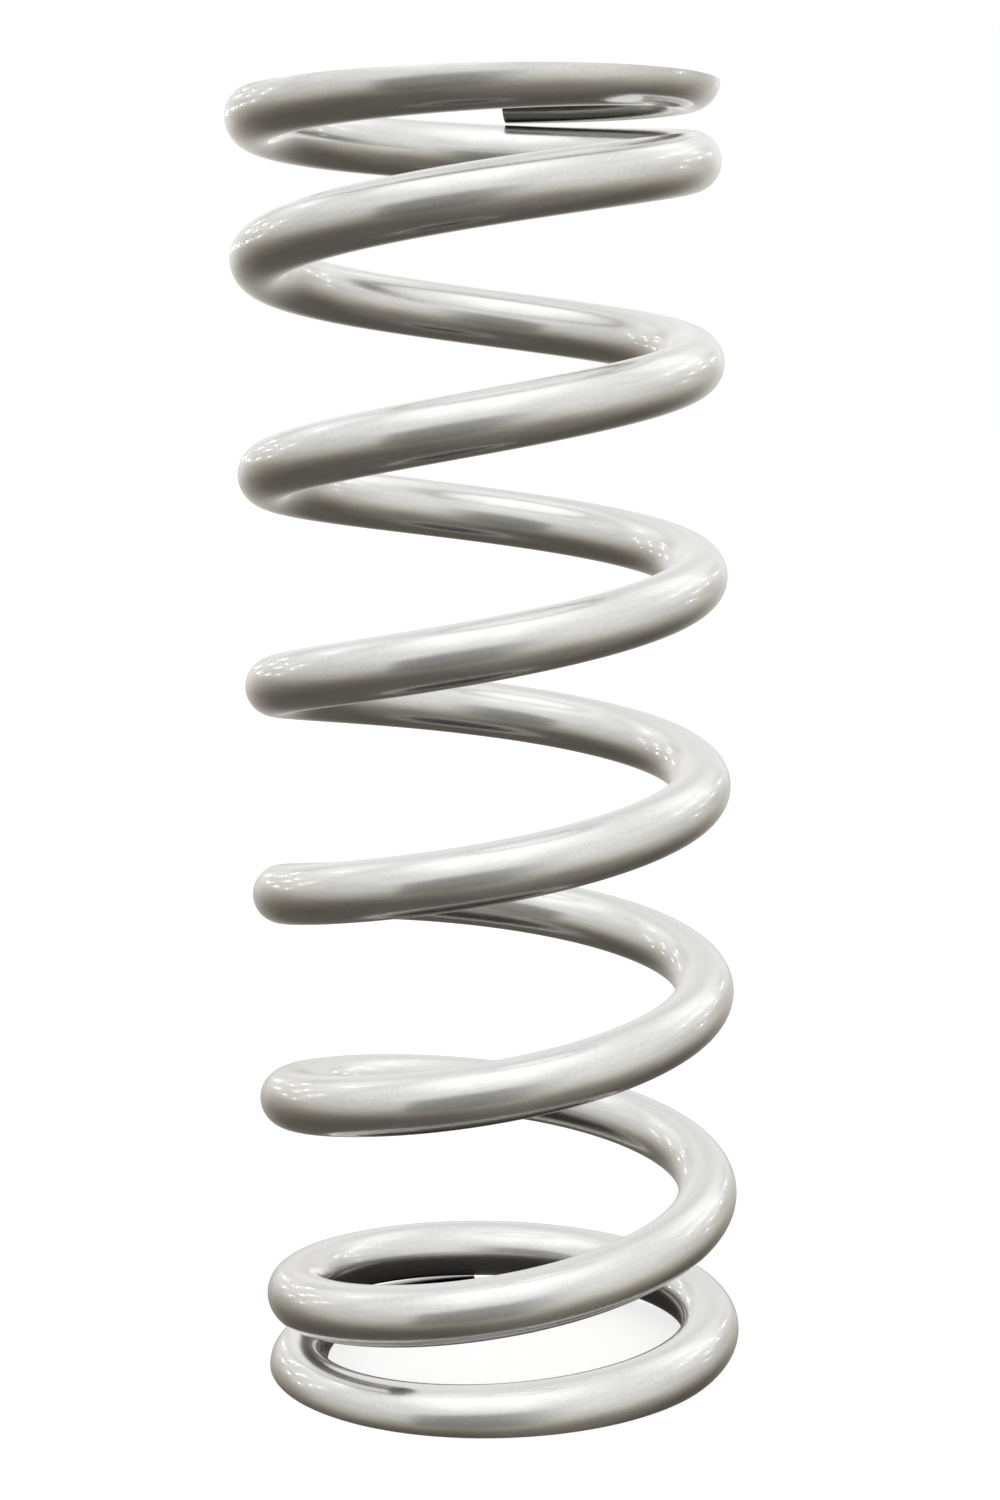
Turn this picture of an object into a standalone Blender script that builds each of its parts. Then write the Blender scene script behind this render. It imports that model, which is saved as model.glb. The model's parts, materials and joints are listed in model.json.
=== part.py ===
"""Coil spring for a coil-over damper: one round wire, right-hand wound, closed and ground at both ends.

The wire is modelled as a chain of stretches, each a solid of its own, cut on upright planes that
hold the spring's axis. Neighbouring stretches slide past each other along the axis, which stands
for the twist of the wire when the spring is squeezed. Metres, +Z up, the bottom ground face on z = 0.
"""

import math

import bmesh
import bpy
from mathutils import Matrix

# Driving dimensions, in metres
WIRE_DIAMETER = 0.0105
INSIDE_DIAMETER = 0.0645
FREE_LENGTH = 0.226
TIP_GAP = 0.0003  # between a ground tip and the coil that lies over it
CUT_GAP = 0.0003  # between neighbouring stretches, measured at the inside of the coil

# Winding, in turns counted from the bottom tip unless a line says otherwise
TOTAL_TURNS = 7.95
START_TURN = 0.275  # where the bottom tip lies round the axis, from +X towards +Y
BOTTOM_OPENING = (0.73, 1.57)  # the pitch opens from closed to full over these turns
TOP_OPENING = (0.325, 2.0)  # the same at the other end, counted from the top tip
GROUND_COIL = 1.0  # length of the stretch that carries each ground face
ACTIVE_START = 1.5
ACTIVE_TURNS = 5
QUARTERS = 4  # stretches in each active turn

# Fineness of the solids
RINGS_PER_TURN = 32
WIRE_SIDES = 16

WIRE_RADIUS = WIRE_DIAMETER / 2
COIL_RADIUS = (INSIDE_DIAMETER + WIRE_DIAMETER) / 2
TIP_SUNK = WIRE_DIAMETER / 4  # the wire's centre lies this far outside the ground face at a tip
CLOSED_PITCH = WIRE_DIAMETER + TIP_GAP
END_INSET = CUT_GAP / 2 / (math.pi * INSIDE_DIAMETER)

COAT_COLOUR = (0.56, 0.56, 0.54, 1.0)
COAT_ROUGHNESS = 0.28
COAT_METALLIC = 0.85


def clear_scene():
    """Remove whatever the open file holds."""
    for thing in list(bpy.data.objects):
        bpy.data.objects.remove(thing, do_unlink=True)


def eased(share):
    """Smooth step from 0 to 1 with flat ends."""
    share = min(max(share, 0.0), 1.0)
    return share**3 * (share * (6 * share - 15) + 10)


def eased_area(share):
    """Area under the smooth step from 0 to share, which runs on at height 1 after the step."""
    inside = min(max(share, 0.0), 1.0)
    return inside**4 * (inside * (inside - 3) + 2.5) + max(share - 1, 0.0)


def closed_turns(opening, turns):
    """How much of the first turns from a tip counts as closed winding."""
    start, end = opening
    return turns - (end - start) * eased_area((turns - start) / (end - start))


def closed_share(opening, turns):
    """How closed the winding is at this many turns from a tip: 1 closed, 0 open."""
    start, end = opening
    return 1 - eased((turns - start) / (end - start))


def active_pitch():
    """Open pitch that brings the ground wire to the free length."""
    closed = sum(
        closed_turns(opening, TOTAL_TURNS) / closed_turns(opening, 1)
        for opening in (BOTTOM_OPENING, TOP_OPENING)
    )
    rise = FREE_LENGTH + 2 * TIP_SUNK
    return (rise - CLOSED_PITCH * closed) / (TOTAL_TURNS - closed)


def centre_height(turn):
    """Height of the wire's centre; the first and last turns each rise by the closed pitch."""
    pitch = active_pitch()
    from_top = closed_turns(TOP_OPENING, TOTAL_TURNS) - closed_turns(TOP_OPENING, TOTAL_TURNS - turn)
    closed = closed_turns(BOTTOM_OPENING, turn) / closed_turns(BOTTOM_OPENING, 1)
    closed += from_top / closed_turns(TOP_OPENING, 1)
    return pitch * turn + (CLOSED_PITCH - pitch) * closed - TIP_SUNK


def local_pitch(turn):
    """Rise per turn of the wire's centre at this turn."""
    pitch = active_pitch()
    closed = closed_share(BOTTOM_OPENING, turn) / closed_turns(BOTTOM_OPENING, 1)
    closed += closed_share(TOP_OPENING, TOTAL_TURNS - turn) / closed_turns(TOP_OPENING, 1)
    return pitch + (CLOSED_PITCH - pitch) * closed


def ring_place(turn):
    """Matrix that sets a circle of the wire's radius upright on the centreline.

    A round wire that climbs is cut by an upright plane in an ellipse, so the circle is stretched.
    """
    slope = local_pitch(turn) / (2 * math.pi * COIL_RADIUS)
    turned = Matrix.Rotation(2 * math.pi * (START_TURN + turn), 4, "Z")
    moved = Matrix.Translation((COIL_RADIUS, 0, centre_height(turn)))
    stretched = Matrix.Diagonal((1, 1, math.hypot(1, slope), 1))
    return turned @ moved @ stretched @ Matrix.Rotation(math.pi / 2, 4, "X")


def ring_turns(start, end):
    """Turns at which a stretch has its rings, inset at both ends for the gap to its neighbours."""
    steps = round((end - start) * RINGS_PER_TURN)
    inner = [start + (end - start) * step / steps for step in range(1, steps)]
    first = start if start == 0 else start + END_INSET
    last = end if end == TOTAL_TURNS else end - END_INSET
    return [first, *inner, last]


def swept_wire(start, end):
    """Closed tube along the centreline: a filled circle whose rim is extruded from ring to ring."""
    shape = bmesh.new()
    turns = ring_turns(start, end)
    bmesh.ops.create_circle(
        shape,
        cap_ends=True,
        segments=WIRE_SIDES,
        radius=WIRE_RADIUS,
        matrix=ring_place(turns[0]),
    )
    rim = list(shape.edges)
    for before, after in zip(turns, turns[1:]):
        grown = bmesh.ops.extrude_edge_only(shape, edges=rim)["geom"]
        rim = [part for part in grown if isinstance(part, bmesh.types.BMEdge)]
        ring = [part for part in grown if isinstance(part, bmesh.types.BMVert)]
        step = ring_place(after) @ ring_place(before).inverted()
        bmesh.ops.transform(shape, matrix=step, verts=ring)
    bmesh.ops.edgeloop_fill(shape, edges=rim)
    return shape


def grind(shape, height, side):
    """Cut the wire flat at this height and close the cut; side is -1 below and 1 above."""
    everything = [*shape.verts, *shape.edges, *shape.faces]
    cut = bmesh.ops.bisect_plane(
        shape,
        geom=everything,
        plane_co=(0, 0, height),
        plane_no=(0, 0, side),
        clear_outer=True,
    )["geom_cut"]
    rim = [part for part in cut if isinstance(part, bmesh.types.BMEdge)]
    bmesh.ops.edgeloop_fill(shape, edges=rim)


def coat_material(name):
    """Bright silver coat of one stretch."""
    material = bpy.data.materials.new(name)
    material.use_nodes = True
    shader = material.node_tree.nodes["Principled BSDF"]
    shader.inputs["Base Color"].default_value = COAT_COLOUR
    shader.inputs["Roughness"].default_value = COAT_ROUGHNESS
    shader.inputs["Metallic"].default_value = COAT_METALLIC
    return material


def place_stretch(name, shape, height, below):
    """Turn a shape into a named object, with its origin on the axis and carried by the one below."""
    bmesh.ops.recalc_face_normals(shape, faces=shape.faces)
    bmesh.ops.translate(shape, vec=(0, 0, -height), verts=shape.verts)
    mesh = bpy.data.meshes.new(name)
    shape.to_mesh(mesh)
    shape.free()
    mesh.shade_smooth()
    mesh.set_sharp_from_angle(angle=math.radians(40))
    mesh.materials.append(coat_material(f"{name}_coat"))
    stretch = bpy.data.objects.new(name, mesh)
    bpy.context.scene.collection.objects.link(stretch)
    stretch.location.z = height
    if below:
        stretch.parent = below
        stretch.location.z = height - below.matrix_world.translation.z
    bpy.context.view_layer.update()
    return stretch


def bottom_end():
    """Ground coil that stands on the seat and the half turn that opens out of it."""
    shape = swept_wire(0, GROUND_COIL)
    grind(shape, 0, -1)
    ground = place_stretch("bottom_ground_coil", shape, 0, None)
    shape = swept_wire(GROUND_COIL, ACTIVE_START)
    return place_stretch("bottom_closing_coil", shape, 0, ground)


def active_coils(below):
    """Five open turns in quarters, each carried by the one below it."""
    for count in range(ACTIVE_TURNS * QUARTERS):
        start = ACTIVE_START + count / QUARTERS
        name = f"active_coil_{count // QUARTERS + 1}_quarter_{count % QUARTERS + 1}"
        shape = swept_wire(start, start + 1 / QUARTERS)
        below = place_stretch(name, shape, centre_height(start), below)
    return below


def top_end(below):
    """The turn that closes towards the top, and the ground coil with the upper seat face."""
    start = ACTIVE_START + ACTIVE_TURNS
    ground_start = TOTAL_TURNS - GROUND_COIL
    shape = swept_wire(start, ground_start)
    closing = place_stretch("top_closing_coil", shape, centre_height(start), below)
    shape = swept_wire(ground_start, TOTAL_TURNS)
    grind(shape, FREE_LENGTH, 1)
    place_stretch("top_ground_coil", shape, centre_height(start), closing)


def main():
    """Model the spring from its bottom seat up."""
    clear_scene()
    top_end(active_coils(bottom_end()))


main()
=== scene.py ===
"""Looks of a coil-over spring: one round wire in a glossy silver metallic coat, ground at both ends.

The wire is shown as a run of closed lengths that meet face to face. The two end lengths ride on the
rigid ends of the frame, and between them lies one length for each joint, fixed where it is built.
"""

from __future__ import annotations

import json
import logging
import math
from dataclasses import dataclass
from enum import Enum
from typing import Any

import bmesh
import bpy
import numpy as np
from mathutils import Matrix, Vector

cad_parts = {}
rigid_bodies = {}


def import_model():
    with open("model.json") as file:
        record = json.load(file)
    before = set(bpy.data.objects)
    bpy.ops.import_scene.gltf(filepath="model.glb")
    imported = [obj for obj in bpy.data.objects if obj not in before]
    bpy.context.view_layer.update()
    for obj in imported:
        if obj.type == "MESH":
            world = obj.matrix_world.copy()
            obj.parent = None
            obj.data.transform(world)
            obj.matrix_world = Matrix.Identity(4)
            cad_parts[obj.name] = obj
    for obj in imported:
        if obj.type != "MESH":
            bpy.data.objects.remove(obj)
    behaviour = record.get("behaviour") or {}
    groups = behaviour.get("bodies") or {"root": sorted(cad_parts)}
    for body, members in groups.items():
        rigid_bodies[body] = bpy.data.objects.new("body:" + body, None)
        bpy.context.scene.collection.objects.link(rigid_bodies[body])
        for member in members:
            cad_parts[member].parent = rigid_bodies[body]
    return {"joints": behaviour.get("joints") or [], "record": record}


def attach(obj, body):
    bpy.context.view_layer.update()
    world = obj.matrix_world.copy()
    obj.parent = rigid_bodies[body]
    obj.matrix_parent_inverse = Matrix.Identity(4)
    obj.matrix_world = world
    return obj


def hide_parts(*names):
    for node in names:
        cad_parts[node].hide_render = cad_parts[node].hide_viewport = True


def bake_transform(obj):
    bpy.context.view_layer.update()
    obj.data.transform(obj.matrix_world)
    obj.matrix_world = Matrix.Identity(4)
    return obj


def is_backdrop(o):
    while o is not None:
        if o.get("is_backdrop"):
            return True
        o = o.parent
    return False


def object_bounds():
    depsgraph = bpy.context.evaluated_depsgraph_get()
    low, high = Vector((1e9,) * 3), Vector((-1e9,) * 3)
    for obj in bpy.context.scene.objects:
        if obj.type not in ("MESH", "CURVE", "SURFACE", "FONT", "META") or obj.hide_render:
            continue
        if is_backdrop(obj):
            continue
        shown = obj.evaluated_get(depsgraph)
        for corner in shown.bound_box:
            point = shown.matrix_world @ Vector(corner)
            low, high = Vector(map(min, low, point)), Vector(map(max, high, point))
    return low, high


LOG = logging.getLogger("coil_spring")
PLACE = "wire_place"  # place of each vertex on the straightened wire: along, outward, upward
TURN = "turn"
KIND = "kind"
WAVE_BANDS = 3.0  # about how many bands a wave texture of scale 1 has in a metre
WHITE = (1.0, 1.0, 1.0)

Number = float | np.ndarray
Colour = tuple[float, float, float]
Stop = tuple[float, Colour]


class Face(Enum):
    """What a face of the wire is, as stored on the face while it is modelled."""

    ROUND = 0
    CAP = 1
    GROUND = 2


def eased(share: Number) -> Number:
    """Smooth step from 0 to 1 with flat ends."""
    share = np.clip(share, 0.0, 1.0)
    return share**3 * (share * (6 * share - 15) + 10)


def eased_area(share: Number) -> Number:
    """Area under the smooth step from 0 to share, which runs on at height 1 after the step."""
    inside = np.clip(share, 0.0, 1.0)
    return inside**4 * (inside * (inside - 3) + 2.5) + np.maximum(share - 1, 0.0)


@dataclass(frozen=True)
class Opening:
    """Stretch of wire, in turns from a tip, where the winding opens from closed to full pitch."""

    start: float
    end: float

    def closed_turns(self, turns: Number) -> Number:
        """How much of the first turns from the tip counts as closed winding."""
        width = self.end - self.start
        return turns - width * eased_area((turns - self.start) / width)

    def closed_share(self, turns: Number) -> Number:
        """How closed the winding is at this many turns from the tip: 1 closed, 0 open."""
        return 1 - eased((turns - self.start) / (self.end - self.start))


@dataclass(frozen=True)
class Winding:
    """The law of the wire's centreline, in metres and in turns counted from the bottom tip."""

    free_length: float
    wire_diameter: float = 0.0105
    inside_diameter: float = 0.0645
    tip_gap: float = 0.0003
    total_turns: float = 7.95
    start_turn: float = 0.275
    bottom: Opening = Opening(0.73, 1.57)
    top: Opening = Opening(0.325, 2.0)

    @property
    def wire_radius(self) -> float:
        """Radius of the round wire."""
        return self.wire_diameter / 2

    @property
    def coil_radius(self) -> float:
        """Distance of the wire's centre from the axis."""
        return (self.inside_diameter + self.wire_diameter) / 2

    @property
    def turn_length(self) -> float:
        """Way round the axis in one turn, without the climb."""
        return 2 * math.pi * self.coil_radius

    @property
    def tip_sunk(self) -> float:
        """How far the wire's centre lies outside the ground face at a tip."""
        return self.wire_diameter / 4

    @property
    def closed_pitch(self) -> float:
        """Rise of the first and of the last turn."""
        return self.wire_diameter + self.tip_gap

    @property
    def active_pitch(self) -> float:
        """Open pitch that brings the ground wire to the free length."""
        ends = (self.bottom, self.top)
        closed = sum(end.closed_turns(self.total_turns) / end.closed_turns(1.0) for end in ends)
        rise = self.free_length + 2 * self.tip_sunk
        return (rise - self.closed_pitch * closed) / (self.total_turns - closed)

    def height(self, turn: Number) -> Number:
        """Height of the wire's centre.

        Args:
            turn: Place along the wire, in turns from the bottom tip.

        Returns:
            The height, in metres.
        """
        pitch = self.active_pitch
        whole = self.top.closed_turns(self.total_turns)
        below_top = self.top.closed_turns(self.total_turns - turn)
        closed = self.bottom.closed_turns(turn) / self.bottom.closed_turns(1.0)
        closed = closed + (whole - below_top) / self.top.closed_turns(1.0)
        return pitch * turn + (self.closed_pitch - pitch) * closed - self.tip_sunk

    def slope(self, turn: Number) -> Number:
        """Climb of the wire's centre.

        Args:
            turn: Place along the wire, in turns from the bottom tip.

        Returns:
            The rise for each metre round the axis.
        """
        pitch = self.active_pitch
        below_top = self.top.closed_share(self.total_turns - turn)
        closed = self.bottom.closed_share(turn) / self.bottom.closed_turns(1.0)
        closed = closed + below_top / self.top.closed_turns(1.0)
        return (pitch + (self.closed_pitch - pitch) * closed) / self.turn_length

    def angle(self, turn: Number) -> Number:
        """Angle round the axis, in radians from +X towards +Y."""
        return 2 * math.pi * (self.start_turn + turn)

    def ring_place(self, turn: float) -> Matrix:
        """Matrix that sets a flat circle of the wire's radius upright on the centreline.

        Args:
            turn: Place along the wire, in turns from the bottom tip.

        Returns:
            The matrix. A round wire that climbs is cut by an upright plane in an ellipse, so the
            circle is stretched a little in height.
        """
        turned = Matrix.Rotation(self.angle(turn), 4, "Z")
        moved = Matrix.Translation((self.coil_radius, 0, self.height(turn)))
        stretched = Matrix.Diagonal((1, 1, math.hypot(1, self.slope(turn)), 1))
        return turned @ moved @ stretched @ Matrix.Rotation(math.pi / 2, 4, "X")

    def inner_point(self, turn: float, height: float) -> Vector:
        """Point on the inside of the coil at a turn, moved to a stated height."""
        radius, angle = self.inside_diameter / 2, self.angle(turn)
        return Vector((radius * math.cos(angle), radius * math.sin(angle), height))

    def round_normals(self, turns: np.ndarray, points: np.ndarray) -> tuple[np.ndarray, np.ndarray]:
        """True normals of the round surface, so that lengths of wire meet without a visible seam.

        Args:
            turns: Place of each vertex along the wire.
            points: Position of each vertex.

        Returns:
            The normals, and the place of each vertex on the straightened wire.
        """
        angle = self.angle(turns)
        out = np.stack([np.cos(angle), np.sin(angle), 0 * angle], axis=1)
        ahead = np.stack([-np.sin(angle), np.cos(angle), 0 * angle], axis=1)
        radial = (points * out).sum(axis=1) - self.coil_radius
        stretch = np.hypot(1, self.slope(turns))
        upward = (points[:, 2] - self.height(turns)) / stretch
        shear = self.slope(turns) * self.coil_radius / (self.coil_radius + radial)
        normals = out * (radial * stretch)[:, None] - ahead * (shear * upward)[:, None]
        normals[:, 2] += upward
        normals /= np.linalg.norm(normals, axis=1, keepdims=True)
        return normals, np.stack([turns * self.turn_length, radial, upward], axis=1)


class Value:
    """A shader socket in an expression: maths on it adds Math nodes."""

    def __init__(self, shader: Shader, socket: Any) -> None:
        """Wrap a node's output socket."""
        self.shader = shader
        self.socket = socket

    def _math(self, operation: str, *others: Value | float, swap: bool = False) -> Value:
        """Add one Math node on this value and others, or on the others first if swap is set."""
        terms = (*others, self) if swap else (self, *others)
        return self.shader.node("ShaderNodeMath", {"operation": operation}, dict(enumerate(terms)))

    def __add__(self, other: Value | float) -> Value:
        """Sum."""
        return self._math("ADD", other)

    __radd__ = __add__

    def __sub__(self, other: Value | float) -> Value:
        """Difference."""
        return self._math("SUBTRACT", other)

    def __rsub__(self, other: float) -> Value:
        """Difference from a number."""
        return self._math("SUBTRACT", other, swap=True)

    def __mul__(self, other: Value | float) -> Value:
        """Product."""
        return self._math("MULTIPLY", other)

    __rmul__ = __mul__

    def above(self, low: float, high: float) -> Value:
        """Smooth step.

        Args:
            low: Value up to which the step is 0.
            high: Value from which it is 1.

        Returns:
            The step.
        """
        settings = {"interpolation_type": "SMOOTHSTEP"}
        inputs = {"Value": self, "From Min": low, "From Max": high}
        return self.shader.node("ShaderNodeMapRange", settings, inputs)


class Shader:
    """Node tree of one material or world, and the one method that adds nodes to it."""

    def __init__(self, tree: bpy.types.NodeTree) -> None:
        """Start from an empty tree."""
        self.tree = tree
        self.tree.nodes.clear()

    @classmethod
    def of_material(cls, name: str) -> tuple[bpy.types.Material, Shader]:
        """New material with an empty shader.

        Args:
            name: Name of the material.

        Returns:
            The material, and its shader to fill.
        """
        material = bpy.data.materials.new(name)
        material.use_nodes = True
        return material, cls(material.node_tree)

    def node(
        self, kind: str, settings: dict[str, Any], inputs: dict[Any, Any], output: int | str = 0
    ) -> Value:
        """Add a node.

        Args:
            kind: Blender's name of the node type.
            settings: Properties that are set first; "stops" holds a ramp's (place, colour) pairs.
            inputs: Values or links by socket name or number.
            output: Name or number of the socket that is wanted.

        Returns:
            That output as a value to use in expressions.
        """
        node = self.tree.nodes.new(kind)
        for name, setting in settings.items():
            if name == "stops":
                self._fill_ramp(node.color_ramp, setting)
            else:
                setattr(node, name, setting)
        for name, given in inputs.items():
            if isinstance(given, Value):
                self.tree.links.new(given.socket, node.inputs[name])
            else:
                node.inputs[name].default_value = given
        return Value(self, node.outputs[output] if node.outputs else None)

    @staticmethod
    def _fill_ramp(ramp: bpy.types.ColorRamp, stops: tuple[Stop, ...]) -> None:
        """Give a colour ramp its stops.

        Args:
            ramp: The ramp, as Blender makes it.
            stops: Place and colour of each stop, in order.
        """
        while len(ramp.elements) < len(stops):
            ramp.elements.new(1.0)
        for element, (place, colour) in zip(ramp.elements, stops):
            element.position = place
            element.color = (*colour, 1.0)

    def mix(
        self, factor: Value | float, low: Value | Colour, high: Value | Colour, blend: str = "MIX"
    ) -> Value:
        """Mix two colours, or put the second on the first in another of Blender's blend modes.

        Args:
            factor: Share of the second colour.
            low: The first colour.
            high: The second colour.
            blend: Blender's name of the mode.

        Returns:
            The mixed colour.
        """
        low, high = (end if isinstance(end, Value) else (*end, 1.0) for end in (low, high))
        settings = {"data_type": "RGBA", "blend_type": blend}
        return self.node("ShaderNodeMix", settings, {"Factor": factor, 6: low, 7: high}, 2)

    def part(self, place: Value, axis: str) -> Value:
        """One of the three parts of a place or direction: X, Y or Z."""
        return self.node("ShaderNodeSeparateXYZ", {}, {"Vector": place}, axis)

    def facing(self, direction: Value, axis: Vector) -> Value:
        """Cosine of the angle between a direction and an axis."""
        inputs = {0: direction, 1: axis}
        return self.node("ShaderNodeVectorMath", {"operation": "DOT_PRODUCT"}, inputs, "Value")

    def noise(self, place: Value, scale: float, detail: float = 2.0) -> Value:
        """Soft noise, about 0.5 on average."""
        inputs = {"Vector": place, "Scale": scale, "Detail": detail}
        return self.node("ShaderNodeTexNoise", {}, inputs)

    def mapped(self, place: Value, scale: tuple[float, float, float], shift: float = 0.0) -> Value:
        """A place scaled apart on each axis, then shifted along the first one."""
        inputs = {"Vector": place, "Location": (shift, 0.0, 0.0), "Scale": scale}
        return self.node("ShaderNodeMapping", {"vector_type": "POINT"}, inputs)

    def bump(self, height: Value, distance: float, below: Value | None = None) -> Value:
        """Raise a surface.

        Args:
            height: Height from 0 to 1.
            distance: What a height of 1 stands for, in metres.
            below: Normal of another bump, which this one is put on.

        Returns:
            The normal.
        """
        inputs = {"Height": height, "Distance": distance, "Strength": 1.0}
        if below is not None:
            inputs["Normal"] = below
        return self.node("ShaderNodeBump", {}, inputs)

    def emission(self, colour: Colour, strength: float = 1.0) -> Value:
        """Plain light of one colour."""
        inputs = {"Color": (*colour, 1.0), "Strength": strength}
        return self.node("ShaderNodeEmission", {}, inputs)

    def either(self, factor: Value, first: Value, second: Value) -> Value:
        """Mix two surfaces."""
        return self.node("ShaderNodeMixShader", {}, {"Fac": factor, 1: first, 2: second})

    def show(self, surface: Value) -> None:
        """Make a surface the material's own."""
        self.node("ShaderNodeOutputMaterial", {}, {"Surface": surface})


@dataclass(frozen=True)
class SilverCoat:
    """Silver metallic coat under a clear gloss: fine flakes, orange peel and long soft waves."""

    wire_length: float
    name: str = "silver_coat"
    colour: Colour = (0.77, 0.77, 0.762)
    shade: Colour = (0.68, 0.68, 0.67)
    flake_share: float = 0.55  # of the colour's changes; the waves make the rest
    roughness: float = 0.23
    roughness_spread: float = 0.08
    flake_size: float = 0.00028
    flake_tilt: float = 0.0000003
    peel_size: float = 0.0016
    peel_height: float = 0.0000035
    wave_size: float = 0.012
    wave_height: float = 0.000018
    wave_squeeze: float = 0.35  # makes the waves longer along the wire
    gloss: float = 0.8
    gloss_roughness: float = 0.03
    # painted shade at the two tips: near-black at the bottom, dark grey at the top, for the shaded
    # gap by the next coil
    bottom_tip_shade: Colour = (0.03, 0.028, 0.026)
    top_tip_shade: Colour = (0.24, 0.245, 0.225)
    tip_shade_length: float = 0.05  # of the stretch with painted shade at each tip
    tip_shade_fade: float = 0.02
    tip_shade_flank: tuple[float, float] = (0.001, 0.003)  # fades in towards the next coil
    tip_shade_bore: tuple[float, float] = (-0.001, 0.002)  # fades out away from the bore

    def surface(self, shader: Shader) -> tuple[Value, Value, Value]:
        """Lay out the coat on the straightened wire.

        Args:
            shader: The shader to add to.

        Returns:
            The coat's colour, roughness and normal.
        """
        place = shader.node("ShaderNodeAttribute", {"attribute_name": PLACE}, {}, "Vector")
        cells = {"Vector": place, "Scale": 1 / self.flake_size}
        flakes = shader.node("ShaderNodeTexVoronoi", {}, cells, "Color")
        flake = shader.node("ShaderNodeSeparateColor", {}, {"Color": flakes})
        peel = shader.noise(place, 1 / self.peel_size)
        drawn_out = shader.mapped(place, (self.wave_squeeze, 1.0, 1.0))
        wave = shader.noise(drawn_out, 1 / self.wave_size, 1.0)
        light = flake * self.flake_share + wave * (1 - self.flake_share)
        colour = shader.mix(light, self.shade, self.colour)
        # painted shade at both tips darkens the coat's colour here
        bottom, top = self.tip_painted_shade(shader, place)
        colour = shader.mix(bottom, colour, self.bottom_tip_shade)
        colour = shader.mix(top, colour, self.top_tip_shade)
        spread = self.roughness_spread / 2
        roughness = self.roughness + (peel + flake - 1) * spread
        normal = shader.bump(wave, self.wave_height)
        normal = shader.bump(peel, self.peel_height, normal)
        normal = shader.bump(flake, self.flake_tilt, normal)
        return colour, roughness, normal

    def tip_painted_shade(self, shader: Shader, place: Value) -> tuple[Value, Value]:
        """Painted shade inside each tip, on the side that faces the next coil, where the gap lies in
        shade.

        Args:
            shader: The shader to add to.
            place: Place on the straightened wire.

        Returns:
            How thin the coat is at the bottom tip, and at the top tip.
        """
        along, upward = shader.part(place, "X"), shader.part(place, "Z")
        inside = 1 - shader.part(place, "Y").above(*self.tip_shade_bore)
        near_start = 1 - along.above(self.tip_shade_length - self.tip_shade_fade, self.tip_shade_length)
        last = self.wire_length - self.tip_shade_length
        near_end = along.above(last, last + self.tip_shade_fade)
        bottom = near_start * upward.above(*self.tip_shade_flank)
        top = near_end * (0 - upward).above(*self.tip_shade_flank)
        return bottom * inside, top * inside

    def material(self) -> bpy.types.Material:
        """Build the finish."""
        material, shader = Shader.of_material(self.name)
        colour, roughness, normal = self.surface(shader)
        inputs = {
            "Base Color": colour,
            "Roughness": roughness,
            "Normal": normal,
            "Metallic": 1.0,
            "Coat Weight": self.gloss,
            "Coat Roughness": self.gloss_roughness,
        }
        shader.show(shader.node("ShaderNodeBsdfPrincipled", {}, inputs))
        return material


@dataclass(frozen=True)
class GroundCoat(SilverCoat):
    """The same coat over a ground steel face, where arcs from the grinding wheel show through."""

    name: str = "ground_coat"
    colour: Colour = (0.68, 0.68, 0.665)
    roughness: float = 0.3
    wheel_radius: float = 0.16
    mark_spacing: float = 0.0007
    mark_depth: float = 0.000006
    mark_waver: float = 1.5
    mark_roughness: float = 0.06

    def surface(self, shader: Shader) -> tuple[Value, Value, Value]:
        """Lay out the coat and add the grinding marks.

        Args:
            shader: The shader to add to.

        Returns:
            The colour, roughness and normal.
        """
        colour, roughness, normal = super().surface(shader)
        place = shader.node("ShaderNodeTexCoord", {}, {}, "Object")
        centred = shader.mapped(place, (1.0, 1.0, 0.0), self.wheel_radius)
        rings = {"wave_type": "RINGS", "rings_direction": "Z"}
        scale = 1 / self.mark_spacing / WAVE_BANDS
        marks = {"Vector": centred, "Scale": scale, "Distortion": self.mark_waver, "Detail": 3.0}
        marks = shader.node("ShaderNodeTexWave", rings, marks, 1)
        roughness = roughness + marks * self.mark_roughness
        return colour, roughness, shader.bump(marks, self.mark_depth, normal)


def add_object(name: str, data: bpy.types.ID) -> bpy.types.Object:
    """Put a new object in the scene, at the origin.

    Args:
        name: Name of the object.
        data: Its mesh, light or camera.

    Returns:
        The object.
    """
    added = bpy.data.objects.new(name, data)
    bpy.context.scene.collection.objects.link(added)
    return added


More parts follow.
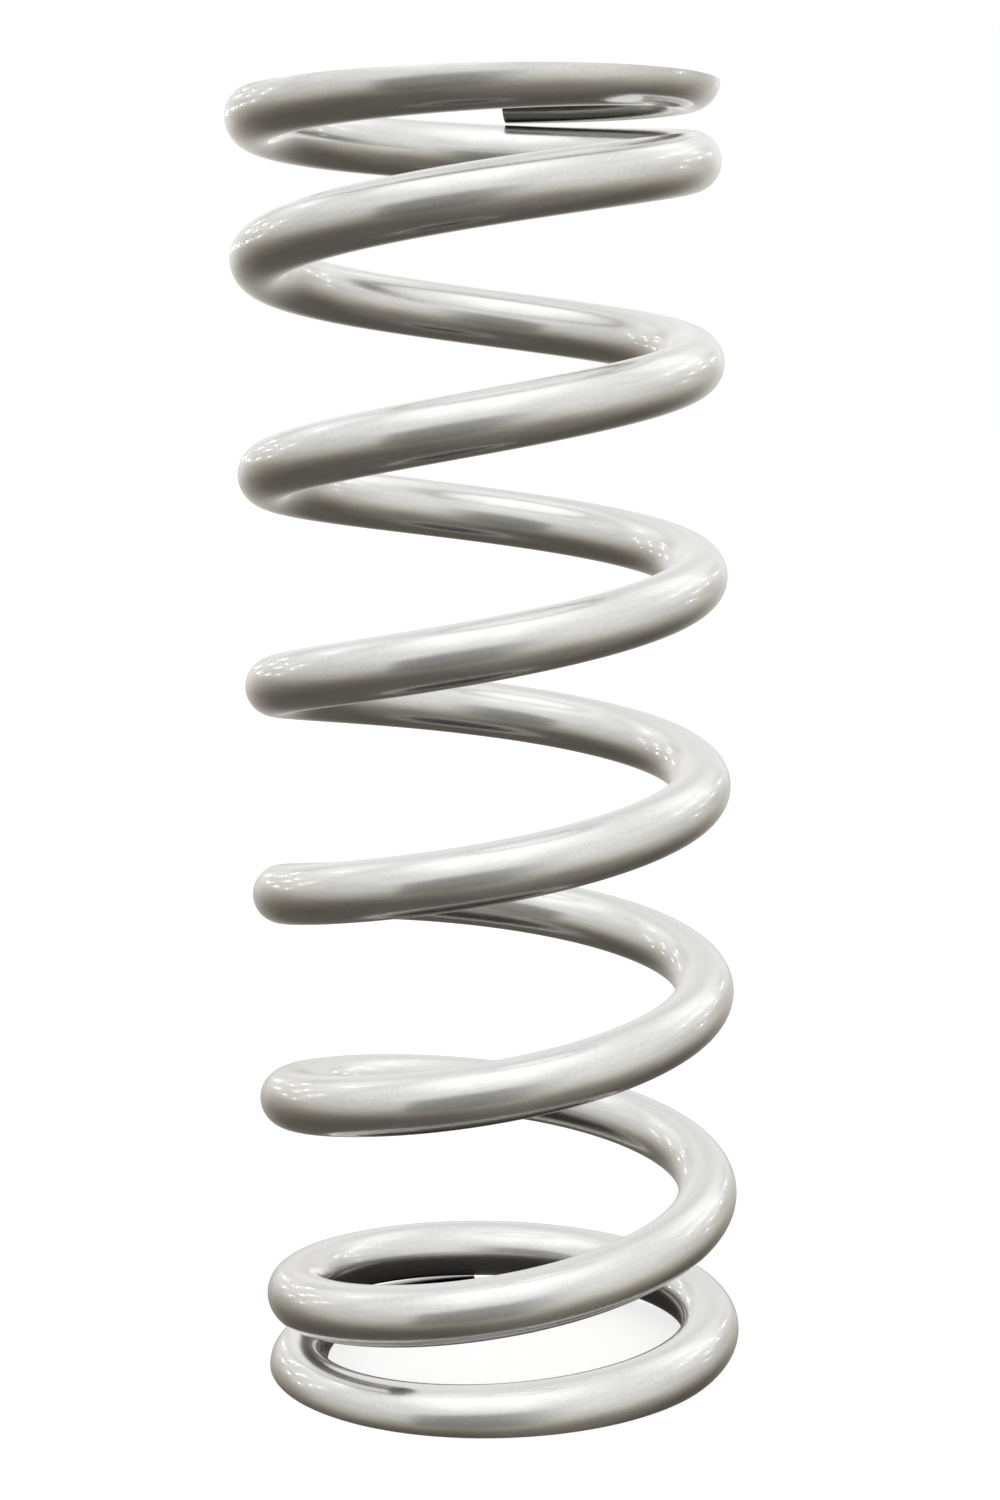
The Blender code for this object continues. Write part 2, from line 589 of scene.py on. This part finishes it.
@dataclass
class Wire:
    """Makes closed lengths of the wire from rings extruded along the winding."""

    winding: Winding
    coat: bpy.types.Material
    ground_coat: bpy.types.Material
    rings_per_turn: int = 192
    sides: int = 48

    def swept(self, start: float, end: float) -> bmesh.types.BMesh:
        """Round wire between two turns, closed by a flat cap at each end.

        Args:
            start: First turn.
            end: Last turn.

        Returns:
            The mesh, with each vertex's turn and each face's kind stored on it.
        """
        shape = bmesh.new()
        turn_layer = shape.verts.layers.float.new(TURN)
        kind = shape.faces.layers.int.new(KIND)
        steps = round((end - start) * self.rings_per_turn)
        turns = [start + (end - start) * step / steps for step in range(steps + 1)]
        places = [self.winding.ring_place(turn) for turn in turns]
        radius = self.winding.wire_radius
        bmesh.ops.create_circle(
            shape, cap_ends=True, segments=self.sides, radius=radius, matrix=places[0]
        )
        first_cap = next(iter(shape.faces))
        for vert in shape.verts:
            vert[turn_layer] = start
        rim = list(shape.edges)
        for turn, before, after in zip(turns[1:], places, places[1:]):
            grown = bmesh.ops.extrude_edge_only(shape, edges=rim)["geom"]
            rim = [part for part in grown if isinstance(part, bmesh.types.BMEdge)]
            ring = [part for part in grown if isinstance(part, bmesh.types.BMVert)]
            bmesh.ops.transform(shape, matrix=after @ before.inverted(), verts=ring)
            for vert in ring:
                vert[turn_layer] = turn
        for face in (first_cap, *bmesh.ops.edgeloop_fill(shape, edges=rim)["faces"]):
            face[kind] = Face.CAP.value
        bmesh.ops.recalc_face_normals(shape, faces=shape.faces)
        return shape

    def finish(self, name: str, shape: bmesh.types.BMesh) -> bpy.types.Object:
        """Turn a shape into a piece with its true normals, wire places and materials.

        Args:
            name: Name of the piece.
            shape: The modelled shape, which is freed.

        Returns:
            The piece, at the origin.
        """
        mesh = bpy.data.meshes.new(name)
        kind = shape.faces.layers.int[KIND]
        kinds = np.array([face[kind] for face in shape.faces])
        for face in shape.faces:
            face.smooth = face[kind] == Face.ROUND.value
        shape.to_mesh(mesh)
        shape.free()
        count = len(mesh.vertices)
        points = np.empty(count * 3)
        turns = np.empty(count)
        mesh.vertices.foreach_get("co", points)
        mesh.attributes[TURN].data.foreach_get("value", turns)
        normals, places = self.winding.round_normals(turns, points.reshape(-1, 3))
        stored = mesh.attributes.new(PLACE, "FLOAT_VECTOR", "POINT")
        stored.data.foreach_set("vector", places.astype(np.float32).ravel())
        mesh.attributes.remove(mesh.attributes[TURN])
        mesh.attributes.remove(mesh.attributes[KIND])
        mesh.materials.append(self.coat)
        ground = kinds == Face.GROUND.value
        if ground.any():
            mesh.materials.append(self.ground_coat)
            mesh.polygons.foreach_set("material_index", ground.astype(np.int32))
        self.set_normals(mesh, kinds, normals)
        return add_object(name, mesh)

    @staticmethod
    def set_normals(mesh: bpy.types.Mesh, kinds: np.ndarray, normals: np.ndarray) -> None:
        """Shade round faces by the wire's true normals, and flat faces flat.

        Args:
            mesh: The mesh.
            kinds: Kind of each face.
            normals: True normal of the round surface at each vertex.
        """
        corners = np.empty(len(mesh.loops), np.int32)
        mesh.loops.foreach_get("vertex_index", corners)
        sizes = np.array([polygon.loop_total for polygon in mesh.polygons])
        flat = np.array([polygon.normal[:] for polygon in mesh.polygons])
        is_round = np.repeat(kinds == Face.ROUND.value, sizes)[:, None]
        shown = np.where(is_round, normals[corners], np.repeat(flat, sizes, axis=0))
        mesh.normals_split_custom_set(shown.tolist())


@dataclass
class GroundEnd:
    """One end of the spring: a closed coil, ground flat."""

    wire: Wire
    name: str
    body: str
    nodes: tuple[str, ...]
    start: float
    end: float
    level: float
    side: int  # of the level that is cut away: -1 below, 1 above

    def grind(self, shape: bmesh.types.BMesh) -> None:
        """Cut the wire flat at the end's level and close the cut.

        Args:
            shape: The swept wire of this end.
        """
        kind = shape.faces.layers.int[KIND]
        cut = bmesh.ops.bisect_plane(
            shape,
            geom=[*shape.verts, *shape.edges, *shape.faces],
            plane_co=(0, 0, self.level),
            plane_no=(0, 0, self.side),
            clear_outer=True,
        )["geom_cut"]
        rim = [part for part in cut if isinstance(part, bmesh.types.BMEdge)]
        for face in bmesh.ops.edgeloop_fill(shape, edges=rim)["faces"]:
            face[kind] = Face.GROUND.value

    def build(self) -> bpy.types.Object:
        """Model the end and let it ride on its rigid body."""
        shape = self.wire.swept(self.start, self.end)
        self.grind(shape)
        bmesh.ops.recalc_face_normals(shape, faces=shape.faces)
        piece = self.wire.finish(self.name, shape)
        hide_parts(*self.nodes)
        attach(piece, self.body)
        return piece


@dataclass
class ActiveCoils:
    """The open turns, in one length for each of the frame's joints."""

    wire: Wire
    joints: list[dict[str, Any]]
    body_nodes: dict[str, list[str]]
    first_cut: float = 1.5  # turn at which the lowest joint cuts the wire
    cut_step: float = 0.25

    @property
    def start(self) -> float:
        """Turn at which the first length starts, half a step before the first cut."""
        return self.first_cut - self.cut_step / 2

    @property
    def end(self) -> float:
        """Turn at which the last length ends."""
        return self.start + self.cut_step * len(self.joints)

    def length(self, count: int) -> bpy.types.Object:
        """Model the length that crosses one joint, fixed where it is built.

        Args:
            count: Which joint it crosses, from 0 at the bottom.

        Returns:
            The piece.
        """
        joint = self.joints[count]
        start = self.start + self.cut_step * count
        end = start + self.cut_step
        piece = self.wire.finish(f"active_wire_{count + 1:02d}", self.wire.swept(start, end))
        winding = self.wire.winding
        middle = winding.height((start + end) / 2)
        nodes = self.body_nodes[joint["child"]]
        if len(nodes) == 1:
            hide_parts(nodes[0])
        ends = (winding.inner_point(start, middle), winding.inner_point(end, middle))
        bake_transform(piece)
        piece.visible_glossy = False  # the open turns would stripe one another's bright coat
        return piece

    def build(self) -> list[bpy.types.Object]:
        """Model every length from the bottom up."""
        return [self.length(count) for count in range(len(self.joints))]


def direction_at(azimuth: float, elevation: float) -> Vector:
    """Direction for angles in degrees: azimuth 0 is the front, positive to the right.

    Args:
        azimuth: Angle round the spring.
        elevation: Angle above the horizon.

    Returns:
        The unit vector away from the spring.
    """
    around, up = math.radians(azimuth), math.radians(elevation)
    across = math.cos(up)
    return Vector((math.sin(around) * across, -math.cos(around) * across, math.sin(up)))


def panel(name: str, half_side: float, place: Matrix) -> bpy.types.Object:
    """Add a flat square panel.

    Args:
        name: Name of the panel.
        half_side: Half the square's side.
        place: Matrix that places the square, in its mesh, so that its origin stays put.

    Returns:
        The panel.
    """
    shape = bmesh.new()
    bmesh.ops.create_grid(shape, x_segments=2, y_segments=2, size=half_side, matrix=place)
    mesh = bpy.data.meshes.new(name)
    shape.to_mesh(mesh)
    shape.free()
    return add_object(name, mesh)


@dataclass(frozen=True)
class Lamp:
    """A small round lamp as seen from the spring: angles in degrees, sizes in metres."""

    azimuth: float
    elevation: float
    radius: float = 0.05
    radiance: float = 15.0
    distance: float = 4.0

    def hang(self, target: Vector) -> None:
        """Add the lamp, aimed at the spring.

        Args:
            target: Middle of the spring.
        """
        out = direction_at(self.azimuth, self.elevation)
        light = bpy.data.lights.new("ceiling_lamp", "AREA")
        light.shape = "DISK"
        light.size = 2 * self.radius
        light.energy = self.radiance * (math.pi * self.radius) ** 2
        lamp = add_object("ceiling_lamp", light)
        lamp.location = target + out * self.distance
        lamp.rotation_euler = out.to_track_quat("Z", "Y").to_euler()
        lamp.visible_camera = False


@dataclass(frozen=True)
class GreyNet:
    """A grey net in front, which dims what the wire mirrors there.

    Its edges are in degrees as seen from the spring, and their soft widths in metres.
    """

    left: float = -45.0
    right: float = 32.0
    bottom: float = -38.0
    top: float = 21.0
    distance: float = 0.9
    dark: float = 0.6
    soft_left: float = 0.08
    soft_right: float = 0.60
    soft_top: float = 0.14
    soft_bottom: float = 0.35

    def hang(self, target: Vector) -> None:
        """Add the net, upright, facing the spring.

        Args:
            target: Middle of the spring.
        """
        edges = (self.left, self.right, self.bottom, self.top)
        left, right, bottom, top = (
            self.distance * math.tan(math.radians(edge)) for edge in edges
        )
        middle = Vector(((left + right) / 2, -self.distance, (top + bottom) / 2))
        sized = Matrix.Diagonal((right - left, 1, top - bottom, 1))
        upright = Matrix.Rotation(math.pi / 2, 4, "X")
        net = panel("grey_net", 0.5, Matrix.Translation(target + middle) @ sized @ upright)
        net.visible_camera = False
        net.visible_diffuse = False
        net.visible_shadow = False
        sides = (target.x + left, target.x + right)
        net.data.materials.append(self.material(sides, (target.z + bottom, target.z + top)))
        net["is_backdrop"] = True

    def material(
        self, sides: tuple[float, float], ends: tuple[float, float]
    ) -> bpy.types.Material:
        """Dark where the net is dense, clear past its soft edges.

        Args:
            sides: Left and right edge, in metres.
            ends: Bottom and top edge, in metres.

        Returns:
            The material.
        """
        material, shader = Shader.of_material("grey_net")
        place = shader.node("ShaderNodeTexCoord", {}, {}, "Object")
        across, upward = shader.part(place, "X"), shader.part(place, "Z")
        (left, right), (bottom, top) = sides, ends
        dense = across.above(left, left + self.soft_left)
        dense = dense * (1 - across.above(right - self.soft_right, right))
        dense = dense * upward.above(bottom, bottom + self.soft_bottom)
        dense = dense * (1 - upward.above(top - self.soft_top, top))
        clear = shader.node("ShaderNodeBsdfTransparent", {}, {})
        black = shader.emission((0.0, 0.0, 0.0), 0.0)
        shader.show(shader.either(dense * self.dark, clear, black))
        return material


@dataclass(frozen=True)
class Floor:
    """Pale floor. Mirrored in the wire, it shows a painted shadow inside the bore and is clear
    everywhere else.
    """

    half_side: float = 6.0
    drop: float = 0.0002  # below the spring's ground face
    colour: Colour = (0.4, 0.4, 0.4)
    roughness: float = 0.9
    glow: float = 0.7
    # painted shadow: a near-black glow inside the bore, which only the wire's reflections see
    bore_shadow_colour: Colour = (0.02, 0.018, 0.016)
    bore_edge: tuple[float, float] = (0.032, 0.044)  # distance from the axis where it clears
    bore_front: tuple[float, float] = (-0.05, 0.02)  # from the front, where it darkens

    def lay(self) -> None:
        """Add the floor that the spring stands on."""
        floor = panel("studio_floor", self.half_side, Matrix.Translation((0, 0, -self.drop)))
        material, shader = Shader.of_material("pale_floor")
        inputs = {
            "Base Color": (*self.colour, 1.0),
            "Roughness": self.roughness,
            "Specular IOR Level": 0.0,
            "Emission Color": (*WHITE, 1.0),
            "Emission Strength": self.glow,
        }
        pale = shader.node("ShaderNodeBsdfPrincipled", {}, inputs)
        place = shader.node("ShaderNodeTexCoord", {}, {}, "Object")
        radius = shader.node("ShaderNodeVectorMath", {"operation": "LENGTH"}, {0: place}, "Value")
        # painted shadow in the bore, fading out towards the front and past the bore's edge
        bore_shadow = (1 - radius.above(*self.bore_edge)) * shader.part(place, "Y").above(*self.bore_front)
        clear = shader.node("ShaderNodeBsdfTransparent", {}, {})
        mirrored = shader.either(bore_shadow, clear, shader.emission(self.bore_shadow_colour))
        glossy = shader.node("ShaderNodeLightPath", {}, {}, "Is Glossy Ray")
        shader.show(shader.either(glossy, pale, mirrored))
        floor.data.materials.append(material)
        floor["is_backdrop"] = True


@dataclass(frozen=True)
class Glow:
    """A soft bright patch on the room's walls or ceiling, as seen from the spring, in degrees."""

    azimuth: float
    elevation: float
    width: float
    colour: Colour
    core: float = 5.0


@dataclass(frozen=True)
class Room:
    """Soft light of a bright room with a dark floor, which shades from overhead down.

    Light that has bounced off two coils comes from the room turned upside down, and after four
    bounces it is nearly gone. That keeps what the coils mirror of one another faint.
    """

    overhead: Colour = (0.08, -0.2, 1.0)
    strength: float = 1.25
    extra: float = 0.4  # strength added after two bounces
    after_two: tuple[float, float] = (2.2, 2.8)  # ray depth here is one more than the bounces
    after_four: tuple[float, float] = (4.2, 4.8)
    lost: float = 0.8
    lost_colour: Colour = (0.02, 0.022, 0.02)
    back_edge: tuple[float, float] = (0.6, 1.0)
    patch_scale: float = 4.0
    patch_edge: tuple[float, float] = (0.3, 0.7)
    patch_dark: Colour = (0.87, 0.87, 0.87)
    patch_light: Colour = (1.06, 1.06, 1.06)
    front: tuple[Stop, ...] = (
        (0.0, (0.085, 0.078, 0.066)),
        (0.15, (0.090, 0.082, 0.068)),
        (0.24, (0.135, 0.123, 0.100)),
        (0.31, (0.235, 0.215, 0.178)),
        (0.37, (0.350, 0.325, 0.278)),
        (0.42, (0.455, 0.431, 0.384)),
        (0.47, (0.520, 0.506, 0.468)),
        (0.52, (0.570, 0.560, 0.532)),
        (0.58, (0.620, 0.612, 0.588)),
        (0.65, (0.710, 0.705, 0.690)),
        (0.75, (0.790, 0.790, 0.782)),
        (0.87, (0.830, 0.830, 0.826)),
        (1.0, (0.980, 0.980, 0.980)),
    )
    back: tuple[Stop, ...] = (
        (0.0, (0.100, 0.093, 0.082)),
        (0.15, (0.130, 0.121, 0.108)),
        (0.24, (0.300, 0.282, 0.255)),
        (0.31, (0.480, 0.460, 0.430)),
        (0.37, (0.600, 0.582, 0.555)),
        (0.45, (0.740, 0.730, 0.712)),
        (0.52, (0.780, 0.775, 0.765)),
        (0.65, (0.780, 0.778, 0.770)),
        (0.87, (0.800, 0.800, 0.796)),
        (1.0, (0.980, 0.980, 0.980)),
    )
    glows: tuple[Glow, ...] = (
        Glow(-25.0, 68.0, 42.0, (0.24, 0.24, 0.24)),
        Glow(50.0, -28.0, 62.0, (0.075, 0.071, 0.062)),
        Glow(130.0, 40.0, 24.0, (0.24, 0.24, 0.235)),
        Glow(-130.0, 38.0, 20.0, (0.14, 0.14, 0.14)),
    )

    def walls(self, shader: Shader, share: Value) -> Value:
        """Colour of the room in each direction.

        Args:
            shader: The shader to add to.
            share: How high each direction looks, from 0 straight down to 1 straight up.

        Returns:
            The colour.
        """
        direction = shader.node("ShaderNodeTexCoord", {}, {}, "Generated")
        near = shader.node("ShaderNodeValToRGB", {"stops": self.front}, {"Fac": share})
        far = shader.node("ShaderNodeValToRGB", {"stops": self.back}, {"Fac": share})
        room = shader.mix(shader.part(direction, "Y").above(*self.back_edge), near, far)
        for glow in self.glows:
            facing = shader.facing(direction, direction_at(glow.azimuth, glow.elevation))
            edges = (math.cos(math.radians(edge)) for edge in (glow.width, glow.core))
            room = shader.mix(facing.above(*edges), room, glow.colour, "ADD")
        patches = shader.noise(direction, self.patch_scale, 3.0).above(*self.patch_edge)
        patches = shader.mix(patches, self.patch_dark, self.patch_light)
        return shader.mix(1.0, room, patches, "MULTIPLY")

    def light(self) -> None:
        """Surround the spring with the room."""
        world = bpy.data.worlds.new("bright_room")
        world.use_nodes = True
        bpy.context.scene.world = world
        shader = Shader(world.node_tree)
        depth = shader.node("ShaderNodeLightPath", {}, {}, "Ray Depth")
        again = depth.above(*self.after_two)
        direction = shader.node("ShaderNodeTexCoord", {}, {}, "Generated")
        share = shader.facing(direction, Vector(self.overhead).normalized()) * 0.5 + 0.5
        share = share + again * (1 - share * 2)
        room = self.walls(shader, share)
        room = shader.mix(depth.above(*self.after_four) * self.lost, room, self.lost_colour)
        seen = shader.node("ShaderNodeLightPath", {}, {}, "Is Camera Ray")
        colour = shader.mix(seen, room, WHITE)
        strength = self.strength + again * self.extra - seen * (self.strength - 1)
        inputs = {"Color": colour, "Strength": strength}
        background = shader.node("ShaderNodeBackground", {}, inputs)
        shader.node("ShaderNodeOutputWorld", {}, {"Surface": background})


@dataclass(frozen=True)
class Camera:
    """Camera a little above the middle of the spring. It looks slightly down and leans a little."""

    place: tuple[float, float, float] = (0.0036, -0.4978, 0.1768)
    lens: float = 67.8
    sensor: float = 36.0
    lean: float = 0.025
    look_down: float = 0.1313

    def set_up(self) -> None:
        """Add the camera and make it the scene's own."""
        data = bpy.data.cameras.new("camera")
        data.lens = self.lens
        data.sensor_width = self.sensor
        camera = add_object("camera", data)
        lean = Matrix.Rotation(self.lean, 4, "Y")
        tilt = Matrix.Rotation(math.pi / 2 - self.look_down, 4, "X")
        camera.matrix_world = Matrix.Translation(self.place) @ lean @ tilt
        bpy.context.scene.camera = camera


@dataclass(frozen=True)
class LampRow:
    """A row of small lamps at one elevation: angles in degrees."""

    elevation: float
    first: float
    step: float
    count: int

    def hang(self, target: Vector) -> None:
        """Add the row's lamps."""
        for place in range(self.count):
            Lamp(self.first + self.step * place, self.elevation).hang(target)


@dataclass
class Studio:
    """Pale floor, soft room light and camera."""

    target: Vector
    rows: tuple[LampRow, ...] = (
        LampRow(22.0, -110.0, -18.0, 3),
        LampRow(16.5, -113.0, -16.0, 3),
        LampRow(6.5, -118.0, -13.0, 4),
        LampRow(30.0, 102.0, 14.0, 3),
        LampRow(15.0, 116.0, 13.0, 3),
    )
    single_lamps: tuple[Lamp, ...] = (
        Lamp(130.0, 23.0),
        Lamp(128.0, 43.0),
        Lamp(110.0, 4.0),
        Lamp(-125.0, 40.0),
    )

    def build(self) -> None:
        """Set up floor, light and camera."""
        Floor().lay()
        Room().light()
        for lamp in (*self.rows, *self.single_lamps):
            lamp.hang(self.target)
        GreyNet().hang(self.target)
        Camera().set_up()
        bpy.context.scene.view_settings.view_transform = "Standard"


def corners() -> list[list[float]]:
    """Lowest and highest corner of what is shown, as plain lists."""
    return [[float(part) for part in corner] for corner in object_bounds()]


def main() -> None:
    """Load the frame, dress it and set up the studio."""
    logging.basicConfig(level=logging.INFO, format="%(message)s")
    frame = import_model()
    cad_box = corners()
    joints = frame["joints"]
    body_nodes = frame["record"]["behaviour"]["bodies"]
    free_length = cad_box[1][2] - cad_box[0][2]
    winding = Winding(free_length)
    wire_length = winding.turn_length * winding.total_turns
    wire = Wire(winding, SilverCoat(wire_length).material(), GroundCoat(wire_length).material())
    coils = ActiveCoils(wire, joints, body_nodes)
    bottom_body, top_body = joints[0]["parent"], joints[-1]["child"]
    bottom = GroundEnd(
        wire,
        "bottom_end_wire",
        bottom_body,
        tuple(body_nodes[bottom_body]),
        start=0.0,
        end=coils.start,
        level=0.0,
        side=-1,
    )
    top = GroundEnd(
        wire,
        "top_end_wire",
        top_body,
        tuple(body_nodes[top_body]),
        start=coils.end,
        end=winding.total_turns,
        level=free_length,
        side=1,
    )
    for piece in (bottom.build(), *coils.build(), top.build()):
        LOG.info("%s: %d faces", piece.name, len(piece.data.polygons))
    Studio(Vector((0, 0, free_length / 2))).build()


if __name__ == "__main__":
    main()
